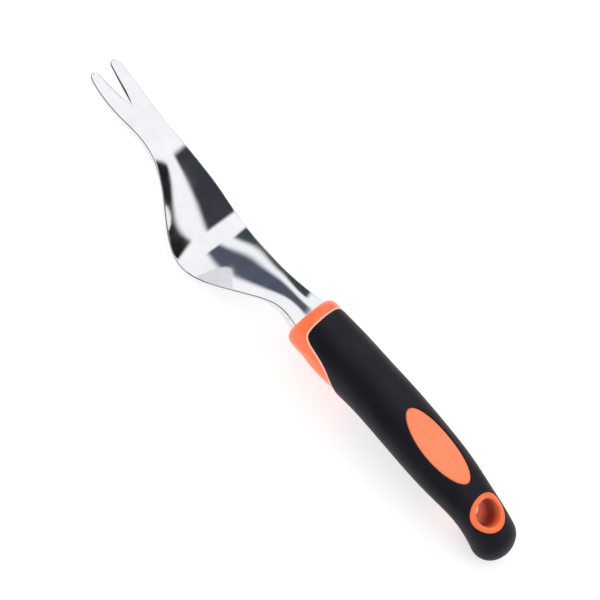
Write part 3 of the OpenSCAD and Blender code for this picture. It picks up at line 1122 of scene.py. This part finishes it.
# Dark flags that hang between the soft lights, as polished metal sees them, in degrees from straight
# up: how far each reaches fore and aft, from side to side, how the fore limits drift per degree of
# side, how the side limits drift per degree of fore, how soft the edges are in the two ways, and the
# light that is left.
FLAGS = (
    ((-180, -43), (-23.5, 40), (0, 0.2), (0, 0), (6, 1.5), (0.040, 0.042, 0.052)),
    ((-180, -108), (-95, -30.2), (0, -1.6), (0, 0.055), (7, 1.5), (0.012, 0.012, 0.014)),
    ((12, 120), (-30.4, -21.9), (0, 0), (-0.02, 0.055), (4, 2.2), (0.085, 0.095, 0.130)),
    ((22, 120), (-12.9, 40), (0, 0), (0, 0), (5, 1.5), (0.045, 0.060, 0.062)),
    ((-180, 180), (12, 95), (0, 0), (0, 0), (1, 4.0), (0.040, 0.040, 0.045)),
    ((-180, 180), (-95, -64), (0, 0), (0, 0), (1, 4.0), (0.100, 0.100, 0.110)),
)


def studio_sky(scene):
    """Soft white light from all round. Mirror-like reflections also meet the dark flags: each one
    is a four-sided patch in two angles, fore-and-aft and sideways, with soft edges."""
    world = bpy.data.worlds.new("studio_sky")
    world.use_nodes = True
    g = Graph(world.node_tree)
    world.node_tree.nodes.clear()
    where = g.node("ShaderNodeSeparateXYZ")
    g.put(where.inputs[0], g.node("ShaderNodeTexCoord").outputs["Generated"])
    x, y, z = where.outputs
    fore = g.math("DEGREES", g.math("ARCTAN2", x, z))
    side = g.math("DEGREES", g.math("ARCSINE", y))
    white = (1.0, 1.0, 1.0, 1.0)
    light = white
    for fore_span, side_span, fore_drift, side_drift, soft, left in FLAGS:
        inside = 1.0
        ways = (fore, side, fore_span, fore_drift, soft[0]), (side, fore, side_span, side_drift, soft[1])
        for angle, other, span, drift, edge in ways:
            low, high = (g.math("MULTIPLY_ADD", other, by, at) for by, at in zip(drift, span))
            rise = g.ramp(g.math("SUBTRACT", angle, low), -edge, edge)
            fall = g.ramp(g.math("SUBTRACT", angle, high), -edge, edge, 1.0, 0.0)
            inside = g.math("MULTIPLY", inside, g.math("MULTIPLY", rise, fall))
        light = g.blend(inside, light, (*left, 1.0))
    path = g.node("ShaderNodeLightPath")
    sky = g.node("ShaderNodeBackground")
    sky.inputs["Strength"].default_value = SKY_LIGHT
    g.put(sky.inputs["Color"], g.blend(path.outputs["Is Glossy Ray"], white, light))
    g.put(g.node("ShaderNodeOutputWorld").inputs["Surface"], sky.outputs[0])
    scene.world = world


class WEEDER_OT_stage(bpy.types.Operator):
    """Builds the pale floor, the studio light and the camera"""

    bl_idname = "weeder.stage"
    bl_label = "Studio"

    def execute(self, context):
        scene = context.scene
        scene.view_settings.view_transform = "Standard"
        material, _, shader = finish_base("studio_floor", Roughness=0.8)
        shader.inputs["Base Color"].default_value = paint(context, "floor")
        shader.inputs["Emission Color"].default_value = (1.0, 1.0, 1.0, 1.0)
        shader.inputs["Emission Strength"].default_value = FLOOR_GLOW
        mesh = bpy.data.meshes.new("studio_floor")
        corners = [(x * FLOOR_HALF, y * FLOOR_HALF, 0) for x, y in ((-1, -1), (1, -1), (1, 1), (-1, 1))]
        mesh.from_pydata(corners, [], [(0, 1, 2, 3)])
        mesh.materials.append(material)
        floor = bpy.data.objects.new("studio_floor", mesh)
        scene.collection.objects.link(floor)
        studio_sky(scene)
        studio_camera()
        return {"FINISHED"}


class WEEDER_PT_panel(bpy.types.Panel):
    """The weeder's pieces, sizes and colours in the 3D view's sidebar"""

    bl_idname = "WEEDER_PT_panel"
    bl_label = "Hand weeder"
    bl_space_type = "VIEW_3D"
    bl_region_type = "UI"
    bl_category = "Weeder"

    def draw(self, context):
        layout = self.layout
        for made in OPERATORS:
            layout.operator(made.bl_idname)
        scene = context.scene
        for title, settings in (("Sizes", scene.weeder_sizes), ("Colours", scene.weeder_colours)):
            box = layout.box()
            box.label(text=title)
            for name in settings.__annotations__:
                box.prop(settings, name)


OPERATORS = (
    WEEDER_OT_finishes,
    WEEDER_OT_blade,
    WEEDER_OT_hidden,
    WEEDER_OT_collar,
    WEEDER_OT_grip,
    WEEDER_OT_pad,
    WEEDER_OT_eyelet,
    WEEDER_OT_stage,
)
CLASSES = (WeederSizes, WeederColours, *OPERATORS, WEEDER_PT_panel)


def register():
    for made in CLASSES:
        bpy.utils.register_class(made)
    bpy.types.Scene.weeder_sizes = PointerProperty(type=WeederSizes)
    bpy.types.Scene.weeder_colours = PointerProperty(type=WeederColours)


def unregister():
    del bpy.types.Scene.weeder_colours
    del bpy.types.Scene.weeder_sizes
    for made in reversed(CLASSES):
        bpy.utils.unregister_class(made)


def main():
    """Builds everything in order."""
    register()
    for made in OPERATORS:
        group_name, call = made.bl_idname.split(".")
        getattr(getattr(bpy.ops, group_name), call)()


if __name__ == "__main__":
    main()
